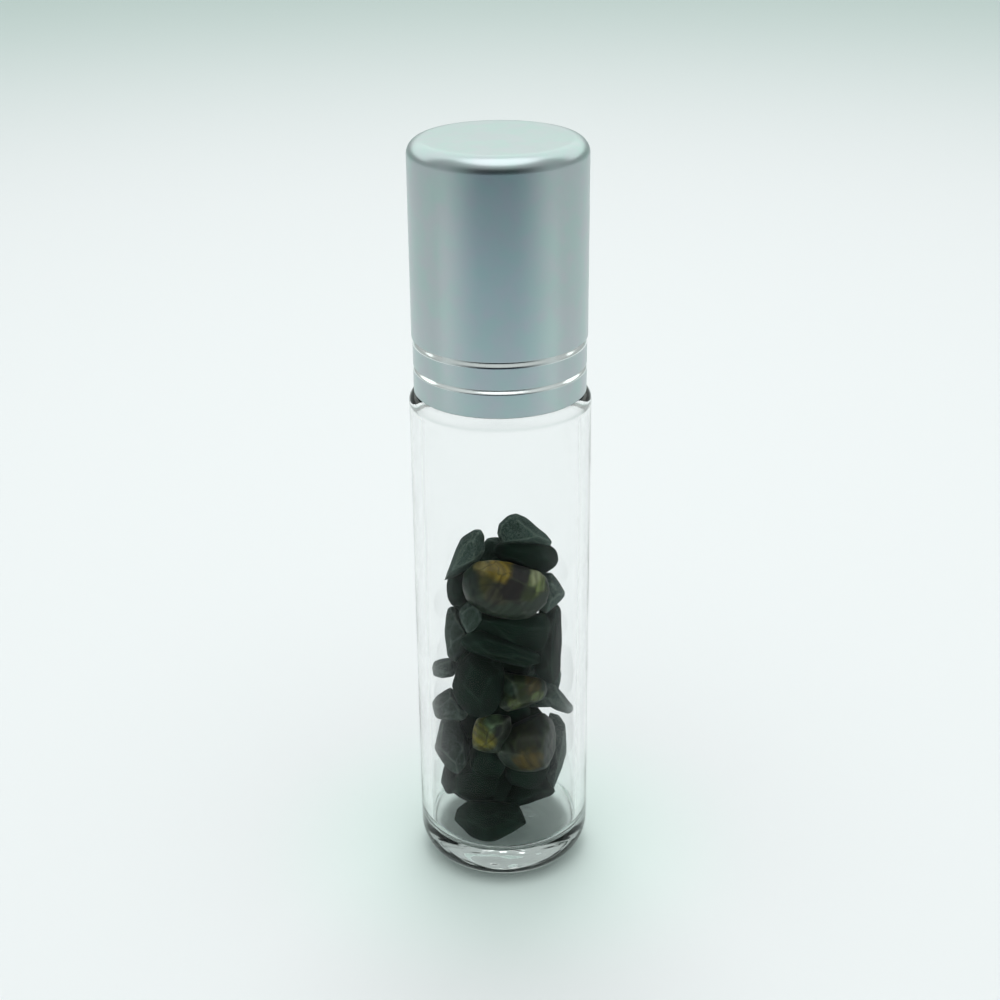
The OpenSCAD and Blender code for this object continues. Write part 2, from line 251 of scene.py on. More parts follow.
def round_card(name, rows, side, dark, light, strength=1.0):
    """A glowing card bent round the bottle, from rows of (radius, height), a painted reflection. Its middle
    glows dark and its ends pale.
    """
    points = []
    for radius, z in rows:
        for k in range(CARD_STEPS + 1):
            a = math.radians(-CARD_REACH + 2 * CARD_REACH * k / CARD_STEPS)
            points.append((radius * math.sin(a) * MM, side * radius * math.cos(a) * MM, z * MM))
    n = CARD_STEPS + 1
    faces = [(r * n + k, r * n + k + 1, (r + 1) * n + k + 1, (r + 1) * n + k)
             for r in range(len(rows) - 1) for k in range(CARD_STEPS)]
    mesh = bpy.data.meshes.new(name)
    mesh.from_pydata(points, [], faces)
    piece = new_object(name, mesh)
    for kind in ("camera", "diffuse", "transmission", "shadow"):
        setattr(piece, "visible_" + kind, False)
    card_glow, add = new_material("glowing card " + name)
    place = add("ShaderNodeTexCoord")["Object"]
    parts = add("ShaderNodeSeparateXYZ", {0: place})
    across = add.math("ABSOLUTE", parts["X"])
    ahead = add.math("MULTIPLY", parts["Y"], side)
    turn = add.math("ARCTAN2", across, ahead)
    aside = add.mapped(turn, CARD_FADE, smooth=True)
    flat = add.vector("MULTIPLY", place, (1, 1, 0))
    away = add.vector("LENGTH", flat)
    # Painted shade on the lying card: it glows paler near the bottle and darker further out.
    near = add.mapped(away, (LYING_FADE[1] * MM, LYING_FADE[0] * MM))
    pale = add.math("MAXIMUM", aside, near)
    tone = add.blend(pale, colour(dark), colour(light))
    glow = add("ShaderNodeEmission", {"Color": tone, "Strength": strength})[0]
    add("ShaderNodeOutputMaterial", {"Surface": glow})
    piece.data.materials.append(card_glow)


# Glowing cards with set colours, painted reflections: a dark one in front, a pale one lying, a white one
# behind.
round_card("standing_card", [(CARD_R, 0), (CARD_R, CARD_HIGH)], -1, "#20282D", "#BFC9C8")
round_card("lying_card", [(LYING_FADE[0], 1), (CARD_R, 1)], -1, "#B9D1DF", "#F6FCFB", 1.12)
round_card("back_card", [(CARD_R, 150), (CARD_R, 700)], 1, "#F6FFFA", "#F6FFFA", 1.45)
print("standing card's height in mm:", CARD_HIGH)


# %% [markdown]
# ## Round pieces
#
# The bottle, the ball's housing, the ball, the cap's shell and its liner were all made round: moulded,
# spun or drawn. Each is an outline turned round the bottle's axis. Blender's Screw modifier can do this,
# but a short function of our own closes the poles, and it lets long straight stretches have rows of their
# own. Without them, smooth shading would bend the light along the whole wall.

# %% Outline and lathe helpers
def arc(centre, radius, start, end, steps=10):
    """Points on a round stretch of an outline, with the angles in degrees."""
    points = []
    for k in range(steps + 1):
        a = math.radians(start + (end - start) * k / steps)
        points.append((centre[0] + radius * math.cos(a), centre[1] + radius * math.sin(a)))
    return points


def with_rows(outline, step, edge_step, closed):
    """Splits the long stretches of an outline, more closely at their ends."""
    result = []
    ends = outline[1:] + (outline[:1] if closed else [])
    for p, q in zip(outline, ends):
        result.append(p)
        length = math.dist(p, q)
        if length > 3 * edge_step:
            inside = length - 2 * edge_step
            count = max(1, math.ceil(inside / step))
            for k in range(count + 1):
                t = (edge_step + inside * k / count) / length
                result.append((p[0] + (q[0] - p[0]) * t, p[1] + (q[1] - p[1]) * t))
    return result if closed else result + [outline[-1]]


def lathe(name, outline, segments=192, step=1.0, edge_step=0.15):
    """Turns an outline, given in mm as (radius, height), round the Z axis into a closed mesh."""
    closed = outline[0][0] > 0
    rows = with_rows(outline, step, edge_step, closed)
    points, starts = [], []
    for radius, z in rows:
        starts.append(len(points))
        for k in range(segments if radius > 0 else 1):
            a = 2 * math.pi * k / segments
            points.append((radius * math.cos(a) * MM, radius * math.sin(a) * MM, z * MM))
    pairs = list(zip(range(len(rows)), list(range(1, len(rows))) + [0]))
    faces = []
    for i, j in pairs if closed else pairs[:-1]:
        for k in range(segments):
            k2 = (k + 1) % segments
            here = [starts[i] + (k if rows[i][0] > 0 else 0), starts[i] + (k2 if rows[i][0] > 0 else 0)]
            there = [starts[j] + (k2 if rows[j][0] > 0 else 0), starts[j] + (k if rows[j][0] > 0 else 0)]
            faces.append(list(dict.fromkeys(here + there)))
    mesh = bpy.data.meshes.new(name)
    mesh.from_pydata(points, [], faces)
    shape = bmesh.new()
    shape.from_mesh(mesh)
    bmesh.ops.recalc_face_normals(shape, faces=shape.faces)
    if shape.calc_volume(signed=True) < 0:
        bmesh.ops.reverse_faces(shape, faces=shape.faces)
    shape.to_mesh(mesh)
    shape.free()
    mesh.shade_smooth()
    return new_object(name, mesh)


print("an eighth of a circle in points:", len(arc((0, 0), 1, 0, 45)))


# %% [markdown]
# ## Glass bottle
#
# The bottle is moulded from clear soda-lime glass: a straight body, a thick floor with a hollow under it, a
# round heel, a low shoulder and a threaded neck. The outline runs up the outside and down the inside, so
# the glass has two true surfaces and bends light as the real wall does. Heated glass never sets quite
# even. So the inside wall gets a slow wave a few hundredths of a millimetre deep, and the floor gets
# shorter ones on both its faces, which break the light in the foot into bright flecks.

# %% Sizes of the bottle
glass_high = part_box("glass_bottle")[1]
GLASS_R = glass_high.x / MM
LIP_Z = glass_high.z / MM
WALL = 1.3
FLOOR_H = 4.0
HEEL_R = 3.9
PUNT_H = 0.2
RING_INSET = 1.1
FLOOR_CORNER_R = 1.8
BODY_H = 59.1
SHOULDER_R = 1.0
SHOULDER_WALL = 1.0
NECK_R = 7.0
NECK_FILLET_R = 0.6
NECK_BORE_R = 5.6
INNER_NECK_R = 1.0
LIP_R = 0.5
LIP_BORE_R = 0.3
BORE_R = GLASS_R - WALL
INNER_SHOULDER_R = 0.7
PITCH = 3.0
THREAD_H = 0.9
THREAD_Z = BODY_H + 2.4
NECK_TURNS = 1.5
print("bore in mm:", round(2 * BORE_R, 2), "neck lip at", round(LIP_Z, 2))


# %% Turn the bottle
def dome(edge_r, base_z, rise, steps=24):
    """A shallow dome from the axis out to its edge."""
    radius = (edge_r ** 2 + rise ** 2) / (2 * rise)
    half_angle = math.degrees(math.asin(edge_r / radius))
    points = arc((0, base_z + rise - radius), radius, 90, 90 - half_angle, steps)
    return [(0, points[0][1])] + points[1:]


inside_top = BODY_H - SHOULDER_WALL
bottle_outline = (
    dome(GLASS_R - HEEL_R - RING_INSET, 0, PUNT_H)
    + arc((GLASS_R - HEEL_R, HEEL_R), HEEL_R, -90, 0, 22)
    + arc((GLASS_R - SHOULDER_R, BODY_H - SHOULDER_R), SHOULDER_R, 0, 90)
    + arc((NECK_R + NECK_FILLET_R, BODY_H + NECK_FILLET_R), NECK_FILLET_R, 270, 180)
    + arc((NECK_R - LIP_R, LIP_Z - LIP_R), LIP_R, 0, 90)
    + arc((NECK_BORE_R + LIP_BORE_R, LIP_Z - LIP_BORE_R), LIP_BORE_R, 90, 180)
    + arc((NECK_BORE_R + INNER_NECK_R, inside_top + INNER_NECK_R), INNER_NECK_R, 180, 270)
    + arc((BORE_R - INNER_SHOULDER_R, inside_top - INNER_SHOULDER_R), INNER_SHOULDER_R, 90, 0)
    + arc((BORE_R - FLOOR_CORNER_R, FLOOR_H + FLOOR_CORNER_R), FLOOR_CORNER_R, 0, -90)
    + [(0, FLOOR_H)]
)
bottle = lathe("clear_glass_bottle", bottle_outline, segments=160, step=0.3)

WAVE_DEPTH = 0.03
WAVE_LENGTH = 9.0
FLOOR_WAVE_DEPTH = 0.05
FLOOR_WAVE_LENGTH = 3.5
UNDER_WAVE_DEPTH = 0.12
UNDER_WAVE_LENGTH = 1.2
ON_WALL = 0.01
for vertex in bottle.data.vertices:
    radius = math.hypot(vertex.co.x, vertex.co.y) / MM
    z = vertex.co.z / MM
    if BORE_R - ON_WALL < radius < BORE_R + ON_WALL and z < inside_top:
        wave = noise.noise(vertex.co / (WAVE_LENGTH * MM)) * WAVE_DEPTH
        vertex.co.x *= 1 + wave / radius
        vertex.co.y *= 1 + wave / radius
    elif z < FLOOR_H + FLOOR_CORNER_R and radius < BORE_R:
        if z < FLOOR_H / 2:
            wave = noise.noise(vertex.co / (UNDER_WAVE_LENGTH * MM)) + 0.5
            wave = max(wave, 0) * min(1, z / PUNT_H) * UNDER_WAVE_DEPTH
        else:
            wave = noise.noise(vertex.co / (FLOOR_WAVE_LENGTH * MM)) * FLOOR_WAVE_DEPTH
        vertex.co.z += wave * min(1, 2 * (BORE_R - radius)) * MM
print("bottle faces:", len(bottle.data.polygons))


# %% [markdown]
# ## Screw threads
#
# A thread is a rule on a surface: at each angle round the axis, the ridge passes a height that rises by one
# pitch in a turn. Geometry Nodes can move the points of a plain wall by that rule, so the ridge grows out of
# the glass and the wall stays one closed surface. The same tree cuts the ridge inside the cap, where it
# points inwards.

# %% The screw-thread tree
RUN_OUT = 0.12


def new_tree(name, sockets):
    """A Geometry Nodes tree with a mesh in and out, and a named input for each value."""
    tree = bpy.data.node_groups.new(name, "GeometryNodeTree")
    for way in ("INPUT", "OUTPUT"):
        tree.interface.new_socket("Mesh", in_out=way, socket_type="NodeSocketGeometry")
    for kind, names in sockets.items():
        for socket in names:
            tree.interface.new_socket(socket, in_out="INPUT", socket_type="NodeSocket" + kind)
    add = Nodes(tree)
    return tree, add, add("NodeGroupInput")


def end_tree(add, mesh, material):
    """Ends a tree with a real mesh and its material."""
    real = add("GeometryNodeRealizeInstances", {0: mesh})[0]
    done = add("GeometryNodeSetMaterial", {"Geometry": real, "Material": material})[0]
    add("NodeGroupOutput", {0: done})


def screw_thread_tree():
    """Moves the points of a round wall in or out along a helical ridge."""
    tree, add, given = new_tree("screw_thread", {
        "Float": ("Wall radius", "Start height", "Pitch", "Turns", "Ridge height", "Root width",
                  "Crest width", "Start turn"),
        "Material": ("Material",)})
    place = add("GeometryNodeInputPosition")[0]
    split = add("ShaderNodeSeparateXYZ", {0: place})
    flat = add.vector("MULTIPLY", place, (1, 1, 0))
    radius = add.vector("LENGTH", flat)
    angle = add.math("ARCTAN2", split["Y"], split["X"])
    turn = add.math("DIVIDE", angle, 2 * math.pi)
    turn = add.math("SUBTRACT", turn, given["Start turn"])
    turn = add.math("FRACT", turn)

    above = add.math("SUBTRACT", split["Z"], given["Start height"])
    level = add.math("DIVIDE", above, given["Pitch"])
    level = add.math("SUBTRACT", level, turn)
    whole = add.math("ROUND", level)
    off = add.math("SUBTRACT", level, whole)
    off = add.math("MULTIPLY", off, given["Pitch"])
    off = add.math("ABSOLUTE", off)
    along = add.math("ADD", turn, whole)
    left = add.math("SUBTRACT", given["Turns"], along)
    end = add.math("MINIMUM", along, left)

    foot = add.math("DIVIDE", given["Root width"], 2)
    crest = add.math("DIVIDE", given["Crest width"], 2)
    ridge = add.mapped(off, (foot, crest), smooth=True)
    run_out = add.mapped(end, (0, RUN_OUT), smooth=True)
    lift = add.math("MULTIPLY", ridge, run_out)
    lift = add.math("MULTIPLY", lift, given["Ridge height"])
    outward = add.vector("NORMALIZE", flat)
    move = add("ShaderNodeVectorMath", {0: outward, "Scale": lift}, operation="SCALE")[0]
    on_wall = add("FunctionNodeCompare", {0: radius, 1: given["Wall radius"], "Epsilon": 0.02 * MM},
                  data_type="FLOAT", operation="EQUAL")[0]
    moved = add("GeometryNodeSetPosition",
                {"Geometry": given["Mesh"], "Selection": on_wall, "Offset": move})[0]
    end_tree(add, moved, given["Material"])
    return tree


def keep_result(piece):
    """Keeps what a piece's modifiers make as its plain mesh."""
    graph = bpy.context.evaluated_depsgraph_get()
    mesh = bpy.data.meshes.new_from_object(piece.evaluated_get(graph), depsgraph=graph)
    piece.modifiers.clear()
    old, piece.data = piece.data, mesh
    bpy.data.meshes.remove(old)
    mesh.name = piece.name


def run_tree(piece, tree, values):
    """Runs a Geometry Nodes tree on a piece. Its inputs are set by identifier."""
    modifier = piece.modifiers.new(tree.name, "NODES")
    modifier.node_group = tree
    sockets = {s.name: s.identifier for s in tree.interface.items_tree if s.in_out == "INPUT"}
    for name, value in values.items():
        modifier[sockets[name]] = value
    keep_result(piece)


thread_tree = screw_thread_tree()
print("inputs:", [s.name for s in thread_tree.interface.items_tree if s.in_out == "INPUT"])


# %% [markdown]
# ## Clear glass
#
# Soda-lime glass bends light with an index of 1.52, and its moulded skin is as smooth as water. The
# Principled shader's transmission gives the surface, and an absorbing volume gives the tone: next to
# nothing through one wall, and a soft grey green where light runs a long way through the foot. It absorbs
# more than clean glass does, because that gives the tone of this bottle's foot. The dark tint on the
# reflections keeps the bright room from veiling the stones.

# %% Glass material and the thread on the neck
GLASS_IOR = 1.52
GLARE = "#202020"
GLASS_TONE, GLASS_DENSITY = "#CFD8D5", 50.0

clear_glass, add = new_material("moulded soda-lime glass")
skin = add("ShaderNodeBsdfPrincipled", {
    "Base Color": colour("#FFFFFF"), "Roughness": 0.0, "IOR": GLASS_IOR, "Transmission Weight": 1.0,
    "Specular Tint": colour(GLARE)})[0]
depth = add("ShaderNodeVolumeAbsorption", {"Color": colour(GLASS_TONE), "Density": GLASS_DENSITY})[0]
add("ShaderNodeOutputMaterial", {"Surface": skin, "Volume": depth})

run_tree(bottle, thread_tree, {
    "Wall radius": NECK_R * MM, "Start height": THREAD_Z * MM, "Pitch": PITCH * MM, "Turns": NECK_TURNS,
    "Ridge height": THREAD_H * MM, "Root width": 1.5 * MM, "Crest width": 0.5 * MM, "Start turn": 0.0,
    "Material": clear_glass})
print("bottle with its thread:", len(bottle.data.vertices), "points")


# %% [markdown]
# ## Ball housing and roller ball
#
# The housing is pressed into the neck and holds the ball. It is moulded from natural polyethylene, which is
# milky, soft to the eye and a little waxy. Three beads round its plug seal it. The ball is polished
# stainless steel, so it is a true mirror, and only its reflections show its shape.

# %% Housing and ball
ball_low, ball_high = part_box("roller_ball")
BALL_R = (ball_high.x - ball_low.x) / 2 / MM
BALL_Z = (ball_high.z + ball_low.z) / 2 / MM
BALL_GAP = 0.05
CUP_WALL = 1.4
PLUG_GAP = 0.25
PLUG_WALL = 0.95
EDGE_R = 0.2
FILLET_R = 0.15
MOUTH_R = 0.3
BEAD_R = 0.32
BEAD_SINK = 0.1
SOCKET_R = BALL_R + BALL_GAP
CUP_R = SOCKET_R + CUP_WALL
FLANGE_R = NECK_R - EDGE_R
FLANGE_H = 1.2
PLUG_R = NECK_BORE_R - PLUG_GAP
PLUG_BORE_R = PLUG_R - PLUG_WALL
PLUG_H = 8.0
SEAT_GAP = 0.02
ORIFICE_R = 3.0
SHELF_H = 0.9
MOUTH_RISE = 1.6
BEAD_H = 0.8
BEAD_STEP = 1.8

seat_z = LIP_Z + SEAT_GAP
plug_z = LIP_Z - PLUG_H
beads = []
for k in (1, 2, 3):
    foot_z = plug_z + k * BEAD_STEP
    beads += [(PLUG_R, foot_z)]
    beads += arc((PLUG_R - BEAD_SINK, foot_z + BEAD_H / 2), BEAD_R, -60, 60, 8) + [(PLUG_R, foot_z + BEAD_H)]
mouth_angle = math.degrees(math.asin(MOUTH_RISE / SOCKET_R))
orifice_angle = -math.degrees(math.acos(ORIFICE_R / SOCKET_R))
shelf_z = BALL_Z - SOCKET_R - SHELF_H
housing_outline = (
    arc((PLUG_BORE_R + EDGE_R, plug_z + EDGE_R), EDGE_R, 180, 270, 4)
    + [(PLUG_R - MOUTH_R, plug_z), (PLUG_R, plug_z + MOUTH_R)]
    + beads + [(PLUG_R, seat_z)]
    + arc((FLANGE_R - EDGE_R, seat_z + EDGE_R), EDGE_R, -90, 0, 5)
    + arc((FLANGE_R - EDGE_R, seat_z + FLANGE_H - EDGE_R), EDGE_R, 0, 90, 5)
    + arc((CUP_R + FILLET_R, seat_z + FLANGE_H + FILLET_R), FILLET_R, 270, 180, 4)
    + arc((CUP_R - 2 * MOUTH_R, BALL_Z + MOUTH_RISE - MOUTH_R), MOUTH_R, 0, 90, 5)
    + arc((0, BALL_Z), SOCKET_R, mouth_angle, orifice_angle, 24)
    + [(ORIFICE_R, shelf_z), (PLUG_BORE_R, shelf_z)]
)
housing = lathe("ball_cup", housing_outline, segments=128, step=0.5)
ball = lathe("steel_ball", [(0, BALL_Z - BALL_R)] + arc((0, BALL_Z), BALL_R, -90, 90, 64)[1:-1]
             + [(0, BALL_Z + BALL_R)], segments=128)
print("ball in mm:", round(2 * BALL_R, 2), "centre at", round(BALL_Z, 2))


# %% Polyethylene and polished steel
def moulded_plastic(name, shade, roughness, ior, milky, depth, flow_scale):
    """Milky plastic with the faint flow marks that a mould leaves, depth in mm."""
    material, add = new_material(name)
    place = add("ShaderNodeTexCoord")["Object"]
    flow = add.noise(place, flow_scale / MM, 3.0)
    skin = add("ShaderNodeBump", {"Height": flow, "Strength": 0.15, "Distance": 0.02 * MM})[0]
    plastic = add("ShaderNodeBsdfPrincipled", {
        "Base Color": colour(shade), "Roughness": roughness, "IOR": ior, "Subsurface Weight": milky,
        "Subsurface Radius": (1.0, 1.0, 1.0), "Subsurface Scale": depth * MM, "Normal": skin})[0]
    add("ShaderNodeOutputMaterial", {"Surface": plastic})
    return material


def bright_metal(name, shade, scuff_scale, detail, smoothest, roughest):
    """Metal with a mirror skin and fine scuffs in it, so many to a millimetre."""
    material, add = new_material(name)
    place = add("ShaderNodeTexCoord")["Object"]
    scuffs = add.noise(place, scuff_scale / MM, detail)
    sheen = add.mapped(scuffs, to=(smoothest, roughest))
    metal = add("ShaderNodeBsdfPrincipled", {"Base Color": colour(shade), "Metallic": 1.0,
                                             "Roughness": sheen})[0]
    add("ShaderNodeOutputMaterial", {"Surface": metal})
    return material


polyethylene = moulded_plastic("natural polyethylene", "#E6EAE8", 0.38, 1.51, 0.35, 1.2, 0.4)
polished_steel = bright_metal("polished stainless steel", "#D3D5D6", 1.8, 6.0, 0.04, 0.12)
housing.data.materials.append(polyethylene)
ball.data.materials.append(polished_steel)
print("materials:", polyethylene.name, "and", polished_steel.name)


# %% [markdown]
# ## Cap
#
# The cap is a thin cup of drawn aluminium over a plastic liner. It was blasted fine and anodised, which
# gives the satin grey, and two grooves near its lower edge were cut afterwards with a diamond tool, so they
# are bright. Each groove sinks in a soft S up to a sharp edge, and so it shows a white line between two
# dark ones.

# %% Shell
shell_low, shell_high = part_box("cap_shell")
CAP_R = shell_high.x / MM
CAP_Z = shell_low.z / MM
CAP_TOP = shell_high.z / MM
SHELL_WALL = 0.5
RIM_R = 1.6
BAND_INSET = 0.1
LOW_BAND_H = 2.6
LOW_GROOVE_H = 0.55
HIGH_BAND_H = 2.35
HIGH_GROOVE_H = 0.75
GROOVE_DEPTH = 0.28
GROOVE_EDGE = 0.04
GROOVE_CHAMFER = 0.03
BAND_EDGE_R = 0.1
SHELL_BORE_R = CAP_R - SHELL_WALL

band_r = CAP_R - BAND_INSET
low_groove = CAP_Z + LOW_BAND_H
high_band = low_groove + LOW_GROOVE_H
high_groove = high_band + HIGH_BAND_H
wall_z = high_groove + HIGH_GROOVE_H


def groove(foot_z, top_z, face_r, above_r, steps=10):
    """A groove that sinks in a soft S from its foot up to a sharp upper edge."""
    points = []
    for k in range(steps + 1):
        t = k / steps
        points.append((face_r - GROOVE_DEPTH * t * t * (3 - 2 * t),
                       foot_z + (top_z - GROOVE_EDGE - foot_z) * t))
    return points + [(above_r - GROOVE_CHAMFER, top_z), (above_r, top_z + GROOVE_CHAMFER)]


shell_outline = (
    [(0, CAP_TOP - SHELL_WALL)]
    + arc((SHELL_BORE_R - RIM_R + SHELL_WALL, CAP_TOP - RIM_R), RIM_R - SHELL_WALL, 90, 0, 6)
    + [(SHELL_BORE_R, CAP_Z)]
    + arc((band_r - BAND_EDGE_R, CAP_Z + BAND_EDGE_R), BAND_EDGE_R, -90, 0, 5)
    + groove(low_groove, high_band, band_r, band_r)
    + groove(high_groove, wall_z, band_r, CAP_R)
    + arc((CAP_R - RIM_R, CAP_TOP - RIM_R), RIM_R, 0, 90, 14)
    + [(0, CAP_TOP)]
)
shell = lathe("satin_cap_shell", shell_outline, segments=192, step=1.0, edge_step=0.06)
print("cap in mm:", round(2 * CAP_R, 2), "by", round(CAP_TOP - CAP_Z, 2))


# %% Liner
liner_low, liner_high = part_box("cap_liner")
LINER_R = liner_high.x / MM
LINER_Z = liner_low.z / MM
LINER_TOP = liner_high.z / MM
THREAD_GAP = 0.25
CUP_GAP = 0.5
LINER_BORE_R = NECK_R + THREAD_H + THREAD_GAP
UPPER_BORE_R = CUP_R + CUP_GAP
ROOF = 1.2
SEAL_R = 3.4
SEAL_BORE_R = 2.6
SEAL_GAP = 0.12
CAP_TURNS = 1.25
RIDGE_DROP = 1.225
LINER_EDGE_R = RIM_R - SHELL_WALL

roof_z = LINER_TOP - ROOF
step_z = LIP_Z + SEAT_GAP + FLANGE_H + CUP_GAP
seal_foot = BALL_Z + math.sqrt((BALL_R + SEAL_GAP) ** 2 - SEAL_BORE_R ** 2)
liner_outline = (
    [(0, roof_z), (SEAL_BORE_R, roof_z)]
    + arc((SEAL_BORE_R + FILLET_R, seal_foot + FILLET_R), FILLET_R, 180, 270, 4)
    + arc((SEAL_R - FILLET_R, seal_foot + FILLET_R), FILLET_R, 270, 360, 4)
    + [(SEAL_R, roof_z), (UPPER_BORE_R, roof_z), (UPPER_BORE_R, step_z), (LINER_BORE_R, step_z + CUP_GAP)]
    + [(LINER_BORE_R, LINER_Z + EDGE_R), (LINER_BORE_R + EDGE_R, LINER_Z), (LINER_R, LINER_Z)]
    + arc((LINER_R - LINER_EDGE_R, LINER_TOP - LINER_EDGE_R), LINER_EDGE_R, 0, 90, 6)
    + [(0, LINER_TOP)]
)
liner = lathe("threaded_cap_liner", liner_outline, segments=160, step=0.25)
print("liner thread starts at", round(THREAD_Z - RIDGE_DROP, 2))


# %% Cap materials
polypropylene = moulded_plastic("moulded white polypropylene", "#EDEFEE", 0.35, 1.49, 0.2, 0.6, 0.6)
run_tree(liner, thread_tree, {
    "Wall radius": LINER_BORE_R * MM, "Start height": (THREAD_Z - RIDGE_DROP + PITCH / 2) * MM,
    "Pitch": PITCH * MM, "Turns": CAP_TURNS, "Ridge height": (NECK_R + THREAD_GAP - LINER_BORE_R) * MM,
    "Root width": 1.2 * MM, "Crest width": 0.4 * MM, "Start turn": 0.5, "Material": polypropylene})

# Patterns to a millimetre: the blasted grain, broad dull patches, and the tint of the anodic film.
GRAIN, PATCH, FILM = 9.0, 0.16, 0.42
satin, add = new_material("satin anodised aluminium")
place = add("ShaderNodeTexCoord")["Object"]
grain = add.noise(place, GRAIN / MM, 2.0)
patches = add.noise(place, PATCH / MM, 3.0)
rough = add.mapped(patches, to=(0.26, 0.34))
film = add.noise(place, FILM / MM, 2.0)
film = add.mapped(film, (0.35, 0.65))
tone = add.blend(film, colour("#AABDBB"), colour("#B1B9BC"))
skin = add("ShaderNodeBump", {"Height": grain, "Strength": 0.25, "Distance": 0.01 * MM})[0]
metal = add("ShaderNodeBsdfPrincipled", {"Base Color": tone, "Metallic": 1.0, "Roughness": rough,
                                         "Normal": skin})[0]
add("ShaderNodeOutputMaterial", {"Surface": metal})

shell.data.materials.append(satin)
shell.data.materials.append(bright_metal("diamond-cut bright aluminium", "#F2F5F5", 3.0, 2.0, 0.12, 0.2))
cut = 0
for face in shell.data.polygons:
    radius = math.hypot(face.center.x, face.center.y) / MM
    z = face.center.z / MM
    if SHELL_BORE_R + 0.1 < radius and (low_groove < z < high_band or high_groove < z < wall_z):
        face.material_index = 1
        cut += 1
print("bright faces:", cut)


# %% [markdown]
# ## Stone chips
#
# The chips are crushed stone, neither cut nor polished: flat broken faces that meet at worn edges. The
# frame holds each chip as a plain rounded solid, which gives its place and its thickness. The chips at the
# front are seen one by one, so each gets the outline that the photograph shows, as corners in picture
# pixels. A ray through each corner is followed to the chip's own depth, so a chip stays where its solid
# is. A few points in front and behind, and a convex hull round them all, then give it a back and flat
# faces. The chips behind and below them take their solid's own shape.

# %% Outlines of the chips in front
OUTLINES_PX = {
    1: [(454, 820), (457, 808), (470, 799), (494, 801), (517, 803), (522, 812), (528, 824), (511, 834),
        (496, 842), (482, 843), (472, 837), (466, 828)],
    2: [(452, 792), (454, 776), (466, 761), (482, 754), (498, 757), (514, 770), (512, 788), (503, 802),
        (491, 811), (476, 806), (464, 800)],
    3: [(500, 800), (503, 784), (513, 770), (534, 767), (549, 773), (556, 792), (551, 797), (537, 799),
        (526, 804), (516, 808), (506, 806)],
    4: [(437, 781), (437, 771), (441, 758), (450, 764), (462, 770), (463, 785), (455, 793), (446, 794)],
    5: [(549, 712), (562, 714), (570, 718), (569, 736), (566, 753), (561, 769), (554, 791), (546, 779),
        (545, 750)],
    6: [(430, 720), (440, 720), (456, 727), (467, 736), (470, 749), (467, 764), (458, 775), (448, 770),
        (440, 758), (433, 748)],
    7: [(496, 739), (511, 725), (531, 716), (546, 712), (554, 719), (557, 736), (555, 753), (547, 768),
        (534, 772), (516, 771), (504, 765), (495, 752)],
    8: [(472, 731), (476, 718), (494, 713), (511, 716), (512, 731), (503, 740), (498, 754), (484, 753),
        (472, 748)],
    9: [(431, 702), (438, 695), (451, 686), (462, 697), (470, 713), (464, 721), (446, 720), (435, 718)],
    10: [(543, 684), (556, 684), (563, 693), (574, 705), (574, 711), (568, 715), (558, 711), (548, 706),
         (541, 698)],
    11: [(500, 671), (525, 675), (536, 677), (546, 681), (547, 692), (544, 700), (528, 705), (517, 710),
         (508, 713), (499, 708)],
    12: [(452, 686), (457, 666), (466, 655), (482, 650), (498, 656), (505, 672), (503, 693), (497, 711),
         (482, 719), (468, 715), (457, 703)],
    13: [(429, 666), (434, 661), (442, 659), (455, 657), (459, 667), (454, 677), (442, 678), (433, 676)],
    14: [(460, 638), (468, 632), (482, 629), (505, 637), (525, 645), (542, 654), (541, 664), (525, 669),
         (505, 663), (482, 657), (468, 653), (460, 646)],
    15: [(446, 606), (456, 606), (465, 618), (471, 634), (466, 650), (455, 664), (446, 655), (445, 630)],
    16: [(539, 605), (558, 604), (562, 612), (562, 640), (561, 676), (554, 685), (543, 681), (533, 673),
         (534, 650), (536, 622)],
    17: [(474, 616), (480, 612), (494, 616), (528, 617), (547, 612), (552, 628), (544, 650), (528, 654),
         (508, 645), (488, 636), (474, 632)],
    18: [(458, 611), (466, 602), (476, 598), (484, 606), (482, 620), (474, 632), (466, 634), (460, 622)],
    19: [(455, 568), (464, 569), (471, 585), (471, 600), (460, 607), (451, 606), (447, 597), (446, 584),
         (449, 575)],
    20: [(461, 585), (463, 572), (473, 562), (483, 560), (496, 560), (511, 563), (525, 569), (539, 571),
         (548, 579), (550, 592), (547, 604), (536, 613), (528, 619), (511, 620), (493, 617), (480, 612),
         (466, 600)],
    21: [(536, 573), (552, 573), (559, 582), (565, 592), (564, 597), (556, 605), (547, 614), (536, 610)],
    22: [(492, 551), (500, 541), (523, 538), (546, 541), (556, 550), (559, 559), (556, 566), (548, 573),
         (538, 575), (524, 571), (510, 566), (499, 561)],
    23: [(497, 534), (499, 524), (508, 515), (516, 513), (526, 517), (535, 526), (547, 534), (553, 541),
         (551, 547), (525, 546), (502, 544)],
    24: [(482, 545), (488, 538), (496, 537), (508, 540), (509, 555), (498, 566), (482, 567), (474, 557)],
    25: [(443, 582), (449, 567), (454, 554), (460, 539), (473, 530), (481, 529), (485, 537), (485, 552),
         (478, 563), (466, 565), (456, 572), (449, 580)],
}
print("chips with an outline:", len(OUTLINES_PX))


# %% [markdown]
# ## From an outline to a chip
#
# The camera's matrix turns a pixel into a ray. The bottle's wall bends that ray twice, at its outer and
# its inner face, and the ray is followed through both, so that the chip looks right through the glass.
# Each corner is where the bent ray meets the plane that faces the camera at the middle of the chip. A
# seeded random choice sets how the faces lean, so no two chips are alike, and the same chip comes out on
# each run.

# %% Look through the glass
STONE_GAP = 0.12
FLOOR_GAP = 0.03

eye = camera.matrix_world.translation.copy()
aim = camera.matrix_world.to_3x3()


def bent(ray, normal, ratio):
    """A ray's direction once it has crossed a surface between air and glass."""
    straight = -ray.dot(normal)
    left = 1 - ratio ** 2 * (1 - straight ** 2)
    return ray * ratio + normal * (ratio * straight - math.sqrt(left)) if left > 0 else ray


